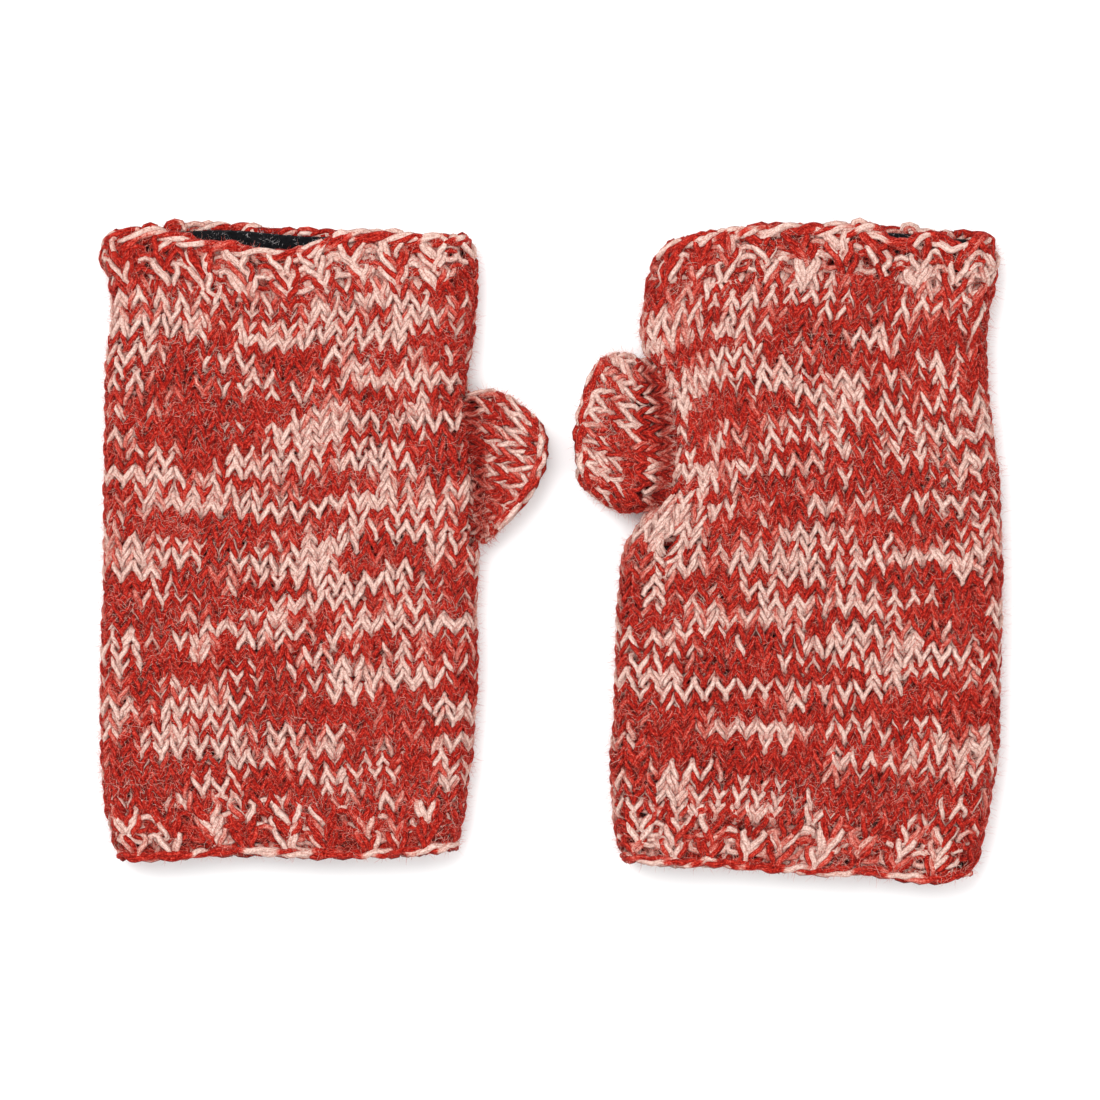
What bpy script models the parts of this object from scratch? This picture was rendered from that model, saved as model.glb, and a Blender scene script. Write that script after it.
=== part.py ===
"""Pair of hand-knitted fingerless mittens, fleece lined, lying flat side by side.

Millimetres in the constants below, metres in the scene. +X runs from the left
mitten to the right one, +Y from the wrist edge to the finger edge, +Z up from
the surface they lie on.
"""
import math

import bmesh
import bpy
import numpy as np

MM = 0.001
GAP = 0.3                 # clearance between neighbouring pieces

# hand tube, lying flat: two layers of wall and two of lining around a flat cavity
HAND_B = 8.8              # half the thickness of the flattened tube
KNIT_WALL = 3.0
LINING_WALL = 2.0
RIB_LENGTH = 11.6         # three rows of rib at each end
RIB_DEPTH = 0.6           # how far the purl columns sink between the knit columns
CHAIN_R = 1.35            # bind-off and cast-on chains
CHAIN_NIP = 0.30          # a chain link is this much thinner at its ends
WALES = 40                # knitted columns around the hand
HEM_THREAD_R = 0.45
HEM_ZIGZAG = 0.45
SEAM_R = 1.2              # seam allowance inside the lining
SEAM_GAP = 1.0            # the seam stays this far off the lining's straight facets

# thumb tube
THUMB_B = 5.8
THUMB_WALL = 2.8
THUMB_Z = 8.0
HOLE_B = 6.4              # half height of the thumb opening in the hand
HOLE_DEPTH = 6.0
ROOT_DEPTH = 5.2          # the thumb's root reaches this far inside the hand's side edge
HOLE_SLACK = 1.2          # extra opening at the thumb's fore and rear side, for its splay
LINING_HOLE_EXTRA = 3.0   # the lining's opening reaches this much further in than the knit's
LIFT_AXIS_Z = 12.5

# Outlines as (y, x) pairs for the side edges and (x, y) pairs for the ends; dip is
# the place, width and depth of the sag in the upper finger edge. The thumb's open end
# is given as x and y at its fore side, middle and rear side, and bulge is how far the
# fore and rear sides bow out between hand and open end. hinge_x is where its axes cross.
LEFT = dict(
    name="left", side=1,
    little_edge=[(-87, -121.4), (-80, -123.0), (-66, -125.8), (-42, -126.5), (-10, -125.9), (30, -124.7),
                 (55, -124.2), (66, -122.8), (76, -124.0), (84, -126.4), (90, -123.4)],
    thumb_edge=[(-87, -25.8), (-78, -25.0), (-66, -23.0), (-42, -20.8), (-10, -20.2), (3, -19.4), (24, -20.0),
                (40, -22.0), (49, -23.0), (58, -21.2), (72, -20.2), (82, -20.4), (90, -23.0)],
    wrist_end=[(-122, -86.4), (-115, -87.0), (-96, -85.6), (-84, -84.8), (-60, -86.0), (-38, -85.2),
               (-26, -83.6)],
    finger_end=[(-122, 89.6), (-112, 91.2), (-91, 92.4), (-72, 90.8), (-54, 90.0), (-38, 88.8), (-24, 88.6)],
    dip=(-78.0, 24.0, 6.2),
    thumb_base=(-19.5, 23.4, 21.2),
    thumb_x=(-4.6, -1.4, -13.8), thumb_y=(38.6, 23.8, 5.0), thumb_bulge=(2.4, 0.9),
    hinge_x=-22.3,
)
RIGHT = dict(
    name="right", side=-1,
    thumb_edge=[(-93, 21.6), (-84, 18.8), (-66, 16.6), (-44, 17.6), (-10, 19.2), (0, 20.8), (8, 25.6),
                (17, 31.0), (30, 32.6), (42, 30.6), (52, 27.0), (62, 25.2), (70, 26.8), (80, 29.2),
                (88, 33.8)],
    little_edge=[(-93, 117.4), (-84, 120.4), (-72, 123.4), (-58, 126.0), (-30, 126.4), (5, 127.0),
                 (24, 126.2), (42, 123.6), (60, 122.8), (74, 125.2), (82, 126.2), (89, 124.0)],
    wrist_end=[(20, -87.4), (34, -88.4), (50, -88.8), (66, -90.0), (78, -91.2), (90, -91.0), (103, -92.2),
               (114, -91.8), (122, -89.4)],
    finger_end=[(28, 83.2), (36, 86.4), (48, 89.2), (64, 91.2), (82, 91.8), (100, 91.0), (112, 89.6),
                (124, 89.2)],
    dip=(106.0, 18.0, 2.0),
    thumb_base=(24.4, 32.4, 21.6),
    thumb_x=(13.2, 7.0, 9.4), thumb_y=(54.0, 33.6, 16.2), thumb_bulge=(1.4, 2.3),
    hinge_x=27.5,
)


def curve(points, t):
    """Smooth curve through (t, value) points, level at both ends."""
    p = np.array(points, float)
    ts, vs = p[:, 0], p[:, 1]
    slope = np.gradient(vs, ts)
    slope[[0, -1]] *= 0.3
    t = np.clip(np.asarray(t, float), ts[0], ts[-1])
    i = np.clip(np.searchsorted(ts, t, side="right") - 1, 0, len(ts) - 2)
    h = ts[i + 1] - ts[i]
    u = (t - ts[i]) / h
    return ((2 * u**3 - 3 * u**2 + 1) * vs[i] + (u**3 - 2 * u**2 + u) * h * slope[i]
            + (-2 * u**3 + 3 * u**2) * vs[i + 1] + (u**3 - u**2) * h * slope[i + 1])


def three(values, w):
    """Quadratic through its values at w = 1, 0 and -1."""
    fore, middle, rear = values
    return middle + (fore - rear) / 2 * w + ((fore + rear) / 2 - middle) * w**2


def stadium(flats, arcs):
    """Spine position (-1 to 1), and outward direction, around a flattened tube."""
    spine, dx, dz = [], [], []
    for end in (1, -1):
        for i in range(flats):
            spine.append(end * (-1 + 2 * i / flats))
            dx.append(0.0)
            dz.append(float(end))
        for i in range(arcs):
            a = math.pi * i / arcs
            spine.append(float(end))
            dx.append(end * math.sin(a))
            dz.append(end * math.cos(a))
    return np.array(spine), np.array(dx), np.array(dz)


def edges(mitten):
    """The side edges in order of X."""
    pair = (mitten["little_edge"], mitten["thumb_edge"])
    return pair if mitten["side"] > 0 else pair[::-1]


def side_x(mitten, y):
    low, high = edges(mitten)
    return curve(low, y), curve(high, y)


def hand_ring(mitten, section, frac, offset, inset):
    """One ring of points around the hand: frac and offset place it along Y."""
    spine, dx, dz = section
    low, high = side_x(mitten, 0.0)
    x = (low + high) / 2 + spine * ((high - low) / 2 - HAND_B) + dx * (HAND_B - inset)
    start, end = curve(mitten["wrist_end"], x), curve(mitten["finger_end"], x)
    at, width, depth = mitten["dip"]
    upper = np.clip(dz * 0.8 + 0.5, 0, 1)
    end = end - depth * upper * np.exp(-((x - at) / width) ** 4)
    y = start + frac * (end - start) + offset
    low, high = side_x(mitten, y)
    x = (low + high) / 2 + spine * ((high - low) / 2 - HAND_B) + dx * (HAND_B - inset)
    return np.stack([x, y, HAND_B + dz * (HAND_B - inset)], 1)


def thumb_ring(mitten, section, step, inset):
    """One ring around the thumb: step runs from 0 at the hand to 1 at the open end."""
    spine, dy, dz = section
    base_x, base_y, half = mitten["thumb_base"]
    w = spine * (1 - THUMB_B / half) + dy * (THUMB_B - inset) / half
    x = (1 - step) * base_x + step * three(mitten["thumb_x"], w)
    y = (1 - step) * (base_y + half * w) + step * three(mitten["thumb_y"], w)
    fore, rear = mitten["thumb_bulge"]
    y += 4 * step * (1 - step) * np.where(w > 0, fore, -rear) * w**2
    return np.stack([x, y, THUMB_Z + dz * (THUMB_B - inset)], 1)


def thumb_root_ring(mitten, section, depth, grow, inset):
    """One ring inside the hand's side edge, depth in from the edge, for the root and its opening."""
    spine, dy, dz = section
    base_x, base_y, half = mitten["thumb_base"]
    r = THUMB_B + grow
    y = base_y + spine * (half - THUMB_B) + dy * (r - inset)
    edge = curve(mitten["thumb_edge"], y)
    return np.stack([edge - mitten["side"] * depth, y, THUMB_Z + dz * (r - inset)], 1)


def loop_faces(rings, count, wrap=False):
    """Quads between successive rings of count points."""
    faces = []
    for r in range(rings if wrap else rings - 1):
        a, b = r * count, ((r + 1) % rings) * count
        for k in range(count):
            n = (k + 1) % count
            faces.append((a + k, a + n, b + n, b + k))
    return faces


def walled_tube(outer, inner):
    """A closed tube wall from its outer rings and its inner rings."""
    rings = outer + inner[::-1]
    return np.concatenate(rings), loop_faces(len(rings), len(outer[0]), wrap=True)


def swept(path, across, second, radii, sides, closed=True):
    """A cord along path, as a loop or with flat ends; across and second span each point's section."""
    count = len(path)
    angle = np.arange(sides) * 2 * math.pi / sides
    rings = [p + r * (np.outer(np.cos(angle), a) + np.outer(np.sin(angle), second))
             for p, r, a in zip(path, radii, across)]
    faces = loop_faces(count, sides, wrap=closed)
    if not closed:
        faces += [tuple(range(sides))[::-1], tuple(range((count - 1) * sides, count * sides))]
    return np.concatenate(rings), faces


def capped(rings, flats, arcs):
    """A solid from stadium rings, closed at both ends by strips from upper to lower side."""
    count = len(rings[0])
    faces = loop_faces(len(rings), count)
    mirror = [(2 * flats + arcs - k) % count for k in range(count)]
    for base, flip in ((0, True), ((len(rings) - 1) * count, False)):
        for k in range(-(arcs // 2), flats + arcs // 2):
            corners = []
            for c in (k % count, (k + 1) % count, mirror[(k + 1) % count], mirror[k % count]):
                if base + c not in corners:
                    corners.append(base + c)
            faces.append(tuple(corners[::-1] if flip else corners))
    return np.concatenate(rings), faces


# ---- scene objects

def clear_scene():
    for obj in list(bpy.data.objects):
        bpy.data.objects.remove(obj, do_unlink=True)


def collection(name):
    made = bpy.data.collections.new(name)
    bpy.context.scene.collection.children.link(made)
    return made


def material(name, colour, roughness):
    made = bpy.data.materials.new(name)
    made.use_nodes = True
    shader = made.node_tree.nodes["Principled BSDF"]
    shader.inputs["Base Color"].default_value = (*colour, 1.0)
    shader.inputs["Roughness"].default_value = roughness
    made.diffuse_color = (*colour, 1.0)
    return made


def mesh_object(name, shape, where, origin=(0.0, 0.0, 0.0)):
    """An object from millimetre points, with outward faces and its origin at origin."""
    verts, faces = shape
    mesh = bpy.data.meshes.new(name)
    mesh.from_pydata([tuple(v) for v in (verts - origin) * MM], [], faces)
    solid = bmesh.new()
    solid.from_mesh(mesh)
    bmesh.ops.recalc_face_normals(solid, faces=solid.faces)
    solid.to_mesh(mesh)
    solid.free()
    obj = bpy.data.objects.new(name, mesh)
    where.objects.link(obj)
    return obj


def empty(name, where, origin, parent):
    """An empty at origin in millimetres, which keeps that place for what hangs on it."""
    made = bpy.data.objects.new(name, None)
    made.empty_display_size = 0.01
    where.objects.link(made)
    made.parent = parent
    made["at_mm"] = [float(c) for c in origin]
    from_parent = np.array(origin) - (np.array(parent["at_mm"]) if parent else 0.0)
    made.location = from_parent * MM
    return made


def cut(obj, cutter):
    """Boolean difference, applied."""
    mod = obj.modifiers.new("opening", "BOOLEAN")
    mod.operation, mod.solver, mod.object = "DIFFERENCE", "EXACT", cutter


# ---- the pieces of one mitten

def hand_pieces(m):
    """Knitted tube, ribs, edge chains, lining, seam and hem threads, as (node, shape, slot)."""
    body, chain, fine = stadium(16, 6), stadium(28, 12), stadium(14, 6)
    outward = np.stack([chain[1], 0 * chain[1], chain[2]], 1)
    hand_y = (0.0, 1.0, 0.0)
    skip = 2 * CHAIN_R + GAP
    rib = (skip, skip + RIB_LENGTH / 2, skip + RIB_LENGTH)
    knit_start = rib[-1] + GAP

    def wall(rows, outer, inner, section=body):
        return walled_tube([hand_ring(m, section, f, o, outer) for f, o in rows],
                           [hand_ring(m, section, f, o, inner) for f, o in rows])

    def rim(frac, offset):
        radii = [CHAIN_R - CHAIN_NIP * (i % 2) for i in range(2 * WALES)]
        path = hand_ring(m, chain, frac, offset, KNIT_WALL / 2)
        return swept(path, outward, hand_y, radii, 6)

    def hem(frac, offset):
        path = hand_ring(m, chain, frac, offset, KNIT_WALL + GAP + LINING_WALL / 2)
        path[:, 1] += HEM_ZIGZAG * (-1.0) ** np.arange(len(path))
        return swept(path, outward, hand_y, [HEM_THREAD_R] * len(path), 4)

    middle = [(s, knit_start * (1 - 2 * s)) for s in (0.12, 0.26, 0.38, 0.5, 0.62, 0.74, 0.87)]
    knit_rows = [(0, knit_start)] + middle + [(1, -knit_start)]
    lining_rows = [(0, o) for o in rib] + middle + [(1, -o) for o in rib[::-1]]
    columns = RIB_DEPTH * (np.arange(WALES) % 2)
    hem_off = skip - GAP - HEM_THREAD_R - HEM_ZIGZAG
    lined = KNIT_WALL + GAP
    return [
        ("hand_knit", wall(knit_rows, 0.0, KNIT_WALL), "wool"),
        ("finger_rib", wall([(1, -o) for o in rib[::-1]], columns, KNIT_WALL, fine), "wool"),
        ("wrist_rib", wall([(0, o) for o in rib], columns, KNIT_WALL, fine), "wool"),
        ("finger_bind_off", rim(1, -CHAIN_R), "wool_edge"),
        ("wrist_cast_on", rim(0, CHAIN_R), "wool_edge"),
        ("fleece_lining", wall(lining_rows, lined, lined + LINING_WALL), "fleece"),
        ("finger_hem_stitch", hem(1, -hem_off), "thread"),
        ("wrist_hem_stitch", hem(0, hem_off), "thread"),
        ("lining_seam", lining_seam(m, lining_rows), "fleece"),
    ]


def lining_seam(m, rows):
    """The lining's joined edges, a ridge inside the fold opposite the thumb."""
    inset = KNIT_WALL + GAP + LINING_WALL + SEAM_GAP + SEAM_R
    section = (np.array([-1.0 * m["side"]]), np.array([-1.0 * m["side"]]), np.array([0.0]))
    rows = [(0, rows[0][1] + 2.0)] + rows[1:-1] + [(1, rows[-1][1] - 2.0)]
    path = [hand_ring(m, section, frac, offset, inset)[0] for frac, offset in rows]
    across = [(1.0, 0.0, 0.0)] * len(path)
    return swept(path, across, (0.0, 0.0, 1.0), [SEAM_R] * len(path), 6, closed=False)


def thumb_pieces(m):
    """Thumb tube, its root rounds and its edge chain, as (node, shape, slot)."""
    body, chain = stadium(8, 6), stadium(10, 6)
    outward = m["side"]

    def pushed(ring, by):
        return ring + np.array([outward * by, 0.0, 0.0])

    def tube(inset):
        return [pushed(thumb_ring(m, body, s, inset), -s * (2 * CHAIN_R + GAP)) for s in (0, 0.35, 0.7, 1)]

    def root(inset):
        return [thumb_root_ring(m, body, ROOT_DEPTH, 0.0, inset), pushed(thumb_ring(m, body, 0, inset), -GAP)]

    path = pushed(thumb_ring(m, chain, 1, THUMB_WALL / 2), -CHAIN_R)
    across = np.stack([0 * chain[1], chain[1], chain[2]], 1)
    radii = [CHAIN_R - CHAIN_NIP * (i % 2) for i in range(len(path))]
    return [
        ("thumb_root", walled_tube(root(0.0), root(THUMB_WALL)), "wool"),
        ("thumb_knit", walled_tube(tube(0.0), tube(THUMB_WALL)), "wool"),
        ("thumb_bind_off", swept(path, across, (outward, 0.0, 0.0), radii, 6), "wool_edge"),
    ]


def opening(m, depth, grow):
    """The solid that cuts the thumb opening through the side of a tube."""
    flats, arcs = 8, 6
    base_x, base_y, half = m["thumb_base"]
    wide = dict(m, thumb_base=(base_x, base_y, half + HOLE_SLACK))
    inner = thumb_root_ring(wide, stadium(flats, arcs), depth, grow, 0.0)
    outer = inner.copy()
    outer[:, 0] = base_x + m["side"] * 12.0
    return capped([inner, outer], flats, arcs)


def centred(pieces):
    """How far to move everything so that the pair is centred and stands on Z = 0."""
    every = np.concatenate([shape[0] for _, shape, _ in pieces])
    low, high = every.min(0), every.max(0)
    return -np.array([(low[0] + high[0]) / 2, (low[1] + high[1]) / 2, low[2]])


def add(name, shape, shift, slot, where, parent):
    """One sub-part, hung on its parent empty."""
    verts, faces = shape
    obj = mesh_object(name, (verts + shift, faces), where, np.array(parent["at_mm"]))
    obj.parent = parent
    obj.data.materials.append(slot)
    return obj


def build_mitten(m, hand, thumb, shift, slots, parts, cutters, root):
    name = m["name"]
    low, high = side_x(m, 0.0)
    hinge = (m["hinge_x"], m["thumb_base"][1])
    mitten = empty(name + "_mitten", parts, ((low + high) / 2, 0.0, HAND_B) + shift, root)
    splay = empty(name + "_thumb_splay_axis", parts, (*hinge, THUMB_Z) + shift, mitten)
    lift = empty(name + "_thumb_lift_axis", parts, (*hinge, LIFT_AXIS_Z) + shift, splay)
    holes = {"hand_knit": HOLE_DEPTH, "fleece_lining": HOLE_DEPTH + LINING_HOLE_EXTRA}
    for node, shape, slot in hand:
        obj = add(f"{name}_{node}", shape, shift, slots[slot], parts, mitten)
        if node in holes:
            verts, faces = opening(m, holes[node], HOLE_B - THUMB_B)
            tool = mesh_object(f"{name}_{node}_opening", (verts + shift, faces), cutters)
            tool.hide_render = True
            tool.display_type = "WIRE"
            cut(obj, tool)
    for node, shape, slot in thumb:
        add(f"{name}_{node}", shape, shift, slots[slot], parts, splay if node == "thumb_root" else lift)


def build():
    clear_scene()
    parts = collection("fingerless_mittens")
    cutters = collection("cutters")
    slots = dict(
        wool=material("wool", (0.50, 0.075, 0.055), 0.9),
        wool_edge=material("wool_edge", (0.60, 0.22, 0.18), 0.9),
        fleece=material("fleece", (0.012, 0.012, 0.014), 0.95),
        thread=material("thread", (0.02, 0.018, 0.02), 0.7),
    )
    pair = [(m, hand_pieces(m), thumb_pieces(m)) for m in (LEFT, RIGHT)]
    shift = centred([piece for _, hand, thumb in pair for piece in hand + thumb])
    root = empty("pair_of_mittens", parts, (0.0, 0.0, 0.0), None)
    for m, hand, thumb in pair:
        build_mitten(m, hand, thumb, shift, slots, parts, cutters, root)


build()
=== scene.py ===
"""Looks for the pair of fingerless mittens: every stitch is two strands of knitted yarn."""
import math
from functools import partial
import bpy
import numpy as np
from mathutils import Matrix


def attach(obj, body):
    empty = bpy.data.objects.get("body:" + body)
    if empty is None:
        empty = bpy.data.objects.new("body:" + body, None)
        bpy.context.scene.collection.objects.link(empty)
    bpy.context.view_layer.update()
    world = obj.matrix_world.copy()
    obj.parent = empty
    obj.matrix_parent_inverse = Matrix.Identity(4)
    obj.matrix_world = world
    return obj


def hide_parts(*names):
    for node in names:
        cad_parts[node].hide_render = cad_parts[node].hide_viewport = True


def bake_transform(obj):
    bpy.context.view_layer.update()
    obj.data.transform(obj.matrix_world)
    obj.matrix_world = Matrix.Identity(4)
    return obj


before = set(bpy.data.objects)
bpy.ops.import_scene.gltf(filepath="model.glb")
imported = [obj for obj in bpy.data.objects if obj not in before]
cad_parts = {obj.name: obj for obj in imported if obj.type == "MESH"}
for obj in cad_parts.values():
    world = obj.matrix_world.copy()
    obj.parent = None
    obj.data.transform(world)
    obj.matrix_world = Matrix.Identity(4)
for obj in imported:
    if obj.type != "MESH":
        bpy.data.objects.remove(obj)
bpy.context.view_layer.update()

MM = 0.001

# ---- sizes in millimetres, the same outlines as the CAD model; a wale is a column of stitches

HAND_B = 8.8              # half the thickness of the flattened hand tube
KNIT_R = 6.75             # middle of the knit wall, from the middle of the tube
FOLD_PROUD = 0.45         # how much further out the fabric stands at the folds
WALES = 40
ROWS = 45
RIB_ROWS = 3
PALM_ROWS = (16, 29)      # where the middle one of the three knit pieces starts and ends
CHAIN_HIGH = 2.7          # height of the edge beyond the rows
ROWS_FROM = -82           # about where the rows start, and how long they are together
ROWS_LONG = 168
SAG = 1.9                 # how far the upper side sinks between its folds
TURN_MM = 217.0           # length of yarn fabric once round the hand
SQUEEZE = 0.15            # share of the turn, by the thumb, that takes up a narrower hand
THUMB_B = 5.8             # half the thickness of the flattened thumb tube
THUMB_R = 4.0             # middle of its wall, from the middle of the tube
THUMB_PROUD = 0.4         # how much further out its fabric stands at the folds
THUMB_Z = 8.0             # height of its middle
THUMB_WALES = 16
THUMB_TWIST = 1.2         # wales that the thumb's columns drift round it, from hand to open end
THUMB_CHAIN = CHAIN_HIGH - 0.2    # the thumb's edge is a little lower
THUMB_BEYOND = 1.3        # its fabric goes on past its last row, to this share of its length
ROOT_DEEP = 6.0           # how far inside the hand's edge the thumb's first row starts
PINCH = 0.50              # share of its height that the thumb loses in the valley beside the hand
PINCH_AT = 1.4            # how far that valley lies past the hand's edge
PINCH_WIDE = 3.2          # and how wide it is
HOLE_B = 5.6              # half the height of the thumb opening in the hand's yarn
HOLE_SHORT = 0.5          # how much shorter the opening is than the thumb, at each end
HOLE_DEEP = 8.6           # how far it reaches on both sides of the hand's edge
LINING_ROWS = (0.2, 44.95)    # where the lining starts and ends

# an edge is (y, x) points and an end (x, y) points; a dip in the finger end is (x, width, depth), and a gap
# between stitches (x, y); thumb_base is the hinge's x, the thumb's middle y and half its width; thumb_x and
# thumb_y are its open end, fore, middle and rear; thumb_bulge is how far it swells, fore and rear
LEFT = dict(
    name="left", side=1, seed=1000, thumb_seed=1021, wave_seed=3,
    little_edge=[(-87, -121.4), (-80, -123.0), (-66, -125.8), (-42, -126.5), (-10, -125.9),
                 (30, -124.7), (55, -124.2), (66, -122.8), (76, -124.0), (84, -126.4), (90, -123.4)],
    thumb_edge=[(-87, -25.8), (-78, -25.0), (-66, -23.0), (-42, -20.8), (-10, -20.2), (3, -19.4),
                (24, -20.0), (40, -22.0), (49, -23.0), (58, -21.2), (72, -20.2), (82, -20.4),
                (90, -23.0)],
    wrist_end=[(-122, -86.4), (-115, -87.0), (-96, -85.6), (-84, -84.8), (-60, -86.0),
               (-38, -85.2), (-26, -83.6)],
    finger_end=[(-122, 89.6), (-112, 91.2), (-91, 92.4), (-72, 90.8), (-54, 90.0), (-38, 88.8),
                (-24, 88.6)],
    dips=[(-83.0, 22.0, 5.4), (-76.0, 11.0, 1.3)],
    gap=None,
    thumb_base=(-19.5, 23.4, 21.2),
    thumb_x=(-4.6, -1.4, -13.8), thumb_y=(38.6, 23.8, 5.0), thumb_bulge=(2.4, 0.9),
    root_rows=1.6, thumb_rows=6,
)
RIGHT = dict(
    name="right", side=-1, seed=2000, thumb_seed=2060, wave_seed=4,
    thumb_edge=[(-93, 21.6), (-84, 18.8), (-66, 16.6), (-44, 17.6), (-10, 19.2), (0, 20.8), (8, 25.6),
                (17, 31.0), (30, 32.6), (42, 30.6), (52, 27.0), (62, 25.2), (70, 26.8), (80, 29.2),
                (88, 33.8)],
    little_edge=[(-93, 117.4), (-84, 120.4), (-72, 123.4), (-58, 126.0), (-30, 126.4), (5, 127.0),
                 (24, 126.2), (42, 123.6), (60, 122.8), (74, 125.2), (82, 126.2), (89, 124.0)],
    wrist_end=[(20, -87.4), (34, -88.4), (50, -88.8), (66, -90.0), (78, -91.2), (90, -91.0),
               (103, -92.2), (114, -91.8), (122, -89.4)],
    finger_end=[(28, 83.2), (36, 86.4), (48, 89.2), (64, 91.2), (82, 91.8), (100, 91.0),
                (112, 89.6), (124, 89.2)],
    dips=[(106.0, 18.0, 1.4), (97.5, 4.4, 2.6), (114.5, 4.0, 2.6)],
    gap=(33.9, 1.4),
    thumb_base=(24.4, 32.4, 21.6),
    thumb_x=(13.2, 7.0, 9.4), thumb_y=(54.0, 33.6, 16.2), thumb_bulge=(1.4, 2.3),
    root_rows=3.7, thumb_rows=8,
)
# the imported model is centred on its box: this is how far that moved it
SHIFT = np.array([-0.26, -0.07, 0.0])

# slow waves in the cloth: size, cell across and along, start across and along, and what the seed gains
RIPPLE = (0.45, 23, 19, 40, 40, 0)
SWELL = (0.80, 52, 37, 9, 5, 30)
DRIFT_X = (0.5, 31, 24, 7, 7, 10)
DRIFT_Y = (0.6, 27, 40, 17, 7, 20)

GAP_PUSH = 3.3            # how hard a gap between stitches pushes the yarn round it aside
GAP_CORE = 0.25           # keeps the push finite in the middle
GAP_SPREAD = 8.0          # square of how far the push reaches

FLOOR_GAP = 0.02          # pieces are flattened this far above the surface that they lie on
FIBRE_GAP = 0.15          # and loose fibres this far


# ---- curves and noise

def curve(points, t):
    """Smooth curve through (t, value) points, nearly level at both ends."""
    p = np.array(points, float)
    ts, vs = p[:, 0], p[:, 1]
    slope = np.gradient(vs, ts)
    slope[[0, -1]] *= 0.3
    t = np.clip(np.asarray(t, float), ts[0], ts[-1])
    i = np.clip(np.searchsorted(ts, t, side="right") - 1, 0, len(ts) - 2)
    h = ts[i + 1] - ts[i]
    u = (t - ts[i]) / h
    return ((2 * u**3 - 3 * u**2 + 1) * vs[i] + (u**3 - 2 * u**2 + u) * h * slope[i]
            + (-2 * u**3 + 3 * u**2) * vs[i + 1] + (u**3 - u**2) * h * slope[i + 1])


def three(values, w):
    """Quadratic through its values at w = 1, 0 and -1."""
    fore, middle, rear = values
    return middle + (fore - rear) / 2 * w + ((fore + rear) / 2 - middle) * w**2


def ease(x, low, high):
    """Smooth step from 0 at low to 1 at high."""
    t = np.clip((np.asarray(x, float) - low) / (high - low), 0, 1)
    return t * t * (3 - 2 * t)


def noise1(x, seed):
    """Smooth noise from -1 to 1 with a cell of 1."""
    cells = 4096
    table = np.random.default_rng(seed).uniform(-1, 1, cells)
    i = np.floor(x).astype(int)
    f = x - i
    f = f * f * (3 - 2 * f)
    return table[i % cells] * (1 - f) + table[(i + 1) % cells] * f


def noise2(x, y, seed):
    """The same over a plane."""
    cells = 64
    table = np.random.default_rng(seed).uniform(-1, 1, (cells, cells))
    i, j = np.floor(x).astype(int), np.floor(y).astype(int)
    f, g = x - i, y - j
    f, g = f * f * (3 - 2 * f), g * g * (3 - 2 * g)
    a, b = i % cells, (i + 1) % cells
    c, d = j % cells, (j + 1) % cells
    return ((table[a, c] * (1 - f) + table[b, c] * f) * (1 - g)
            + (table[a, d] * (1 - f) + table[b, d] * f) * g)


def layers(parts, x, seed):
    """Sum of noises, each (size, cell); every next one has the next seed."""
    return sum(size * noise1(x / cell, seed + k) for k, (size, cell) in enumerate(parts))


def unit(v):
    """Vectors of length 1."""
    return v / np.maximum(np.linalg.norm(v, axis=-1, keepdims=True), 1e-9)


# ---- the two fabrics: from (wale, row, outward offset) to a point and its outward normal

def around(q, half_flat, radius):
    """Where share q of a turn around a flattened tube falls: spine (-1 to 1), sideways and up direction."""
    turn = 4 * half_flat + 2 * math.pi * radius
    p = (q % 1.0) * turn
    arc = math.pi * radius
    spine = np.where(p < half_flat, p / half_flat,
                     np.where(p < half_flat + arc, 1.0,
                              np.where(p < 3 * half_flat + arc, 1 - (p - half_flat - arc) / half_flat,
                                       np.where(p < 3 * half_flat + 2 * arc, -1.0,
                                                -1 + (p - 3 * half_flat - 2 * arc) / half_flat))))
    right = np.clip((p - half_flat) / radius, 0, math.pi)
    left = np.clip((p - 3 * half_flat - arc) / radius, 0, math.pi)
    angle = right + left
    return spine, np.sin(angle), -np.cos(angle)


def settle(m, q, flat):
    """Shift wales so that they stay straight, and bunch by the thumb where the hand is narrower."""
    fold = 0.25 * m["side"]
    turn = 4 * flat + 2 * math.pi * KNIT_R
    off = (q - fold + 0.5) % 1.0 - 0.5
    far = (0.5 - np.abs(off)) * TURN_MM
    start = (0.5 - SQUEEZE) * TURN_MM
    near = start + (turn / 2 - start) * (1 - np.abs(off) / SQUEEZE)
    share = 0.5 - np.where(np.abs(off) > SQUEEZE, far, near) / turn
    return fold + np.sign(off) * share


def wave(kind, x, y, seed):
    """One of the slow waves in the cloth."""
    size, cell_x, cell_y, from_x, from_y, more = kind
    return size * noise2(x / cell_x + from_x, y / cell_y + from_y, seed + more)


def push_aside(gap, x, y, upper):
    """Open a gap between the stitches of the upper side."""
    away = np.stack([x - gap[0], y - gap[1]], -1)
    r = np.linalg.norm(away, axis=-1) + GAP_CORE
    push = GAP_PUSH * np.exp(-r**2 / GAP_SPREAD) * upper / r
    return x + away[..., 0] * push, y + away[..., 1] * push


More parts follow.
